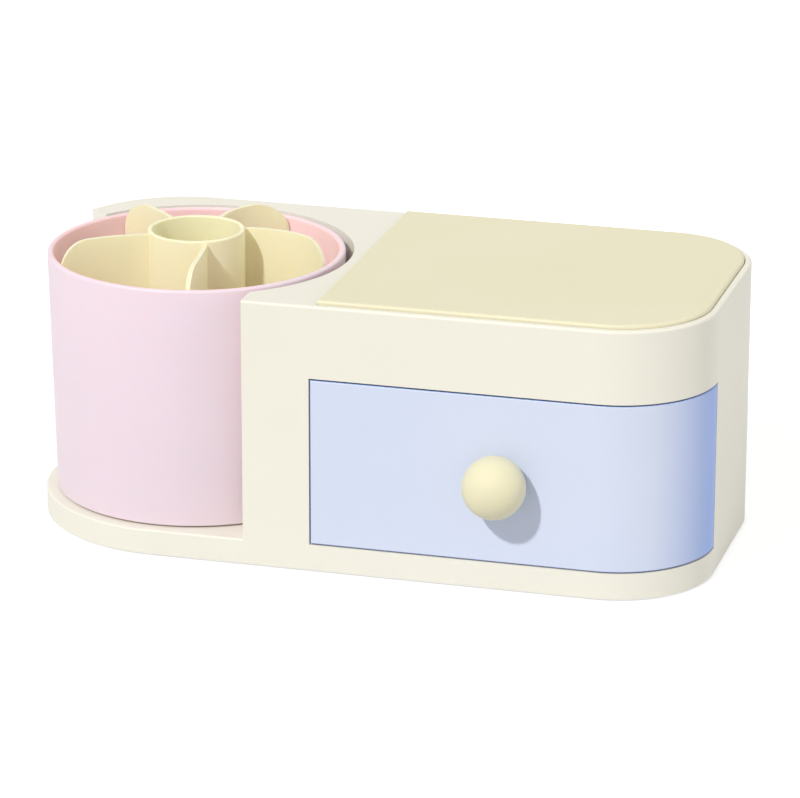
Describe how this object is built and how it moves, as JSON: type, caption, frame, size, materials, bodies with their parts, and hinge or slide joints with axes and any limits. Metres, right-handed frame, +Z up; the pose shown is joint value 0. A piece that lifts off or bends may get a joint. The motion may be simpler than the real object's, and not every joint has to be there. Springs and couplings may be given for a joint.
{
  "type": "rotating makeup brush holder",
  "caption": "Vanity organiser: a turning divided brush cup beside a drawer with a ball knob under a lidded tray, in one moulded body with a rounded outline.",
  "frame": {"origin": "centre of the whole bounding box, on the surface it stands on", "axes": "+X along the front from the cup to the drawer's rounded corner, +Y from front to back, +Z up"},
  "size_m": [0.257, 0.1442, 0.1078],
  "materials": {
    "shell_white": "satin moulded",
    "screw_steel": "zinc plated",
    "foot_rubber": "matt",
    "race_white": "smooth moulded",
    "cage_nylon": "natural nylon",
    "ball_steel": "polished",
    "cup_pink": "satin moulded",
    "insert_cream": "satin moulded",
    "tray_white": "satin moulded",
    "front_blue": "satin moulded",
    "knob_cream": "satin moulded",
    "lid_cream": "satin moulded"
  },
  "bodies": {
    "base": {"housing": "shell_white", "base_cover": "shell_white", "base_cover_screws": "screw_steel", "rubber_feet": "foot_rubber", "lower_race": "race_white", "lower_race_screws": "screw_steel", "pivot_bush": "cage_nylon", "pivot_washer": "ball_steel", "pivot_screw": "screw_steel", "top_tray": "shell_white", "top_tray_screws": "screw_steel", "drawer_stop": "cage_nylon", "drawer_stop_screw": "screw_steel"},
    "cup": {"brush_cup": "cup_pink", "upper_race": "race_white", "upper_race_screws": "screw_steel"},
    "bearing": {"ball_cage": "cage_nylon", "bearing_balls": "ball_steel"},
    "insert": {"divider_insert": "insert_cream"},
    "drawer": {"drawer_tray": "tray_white", "drawer_front": "front_blue", "drawer_front_screws": "screw_steel", "knob": "knob_cream", "knob_screw": "screw_steel"},
    "lid": {"top_lid": "lid_cream"}
  },
  "joints": [
    {"name": "cup_spin", "type": "hinge", "parent": "base", "child": "cup", "pos_m": [-0.0715, 0.00465, 0.0144], "axis": [0, 0, 1], "continuous": true},
    {"name": "cage_spin", "type": "hinge", "parent": "base", "child": "bearing", "pos_m": [-0.0715, 0.00465, 0.0086], "axis": [0, 0, 1], "continuous": true},
    {"name": "insert_lift", "type": "slide", "parent": "cup", "child": "insert", "axis": [0, 0, 1], "range_m": [0, 0.1]},
    {"name": "drawer_slide", "type": "slide", "parent": "base", "child": "drawer", "axis": [0, -1, 0], "range_m": [0, 0.084]},
    {"name": "lid_lift", "type": "slide", "parent": "base", "child": "lid", "axis": [0, 0, 1], "range_m": [0, 0.05]}
  ],
  "couplings": [
    {"joint": "cage_spin", "follows": "cup_spin", "ratio": 0.5}
  ]
}
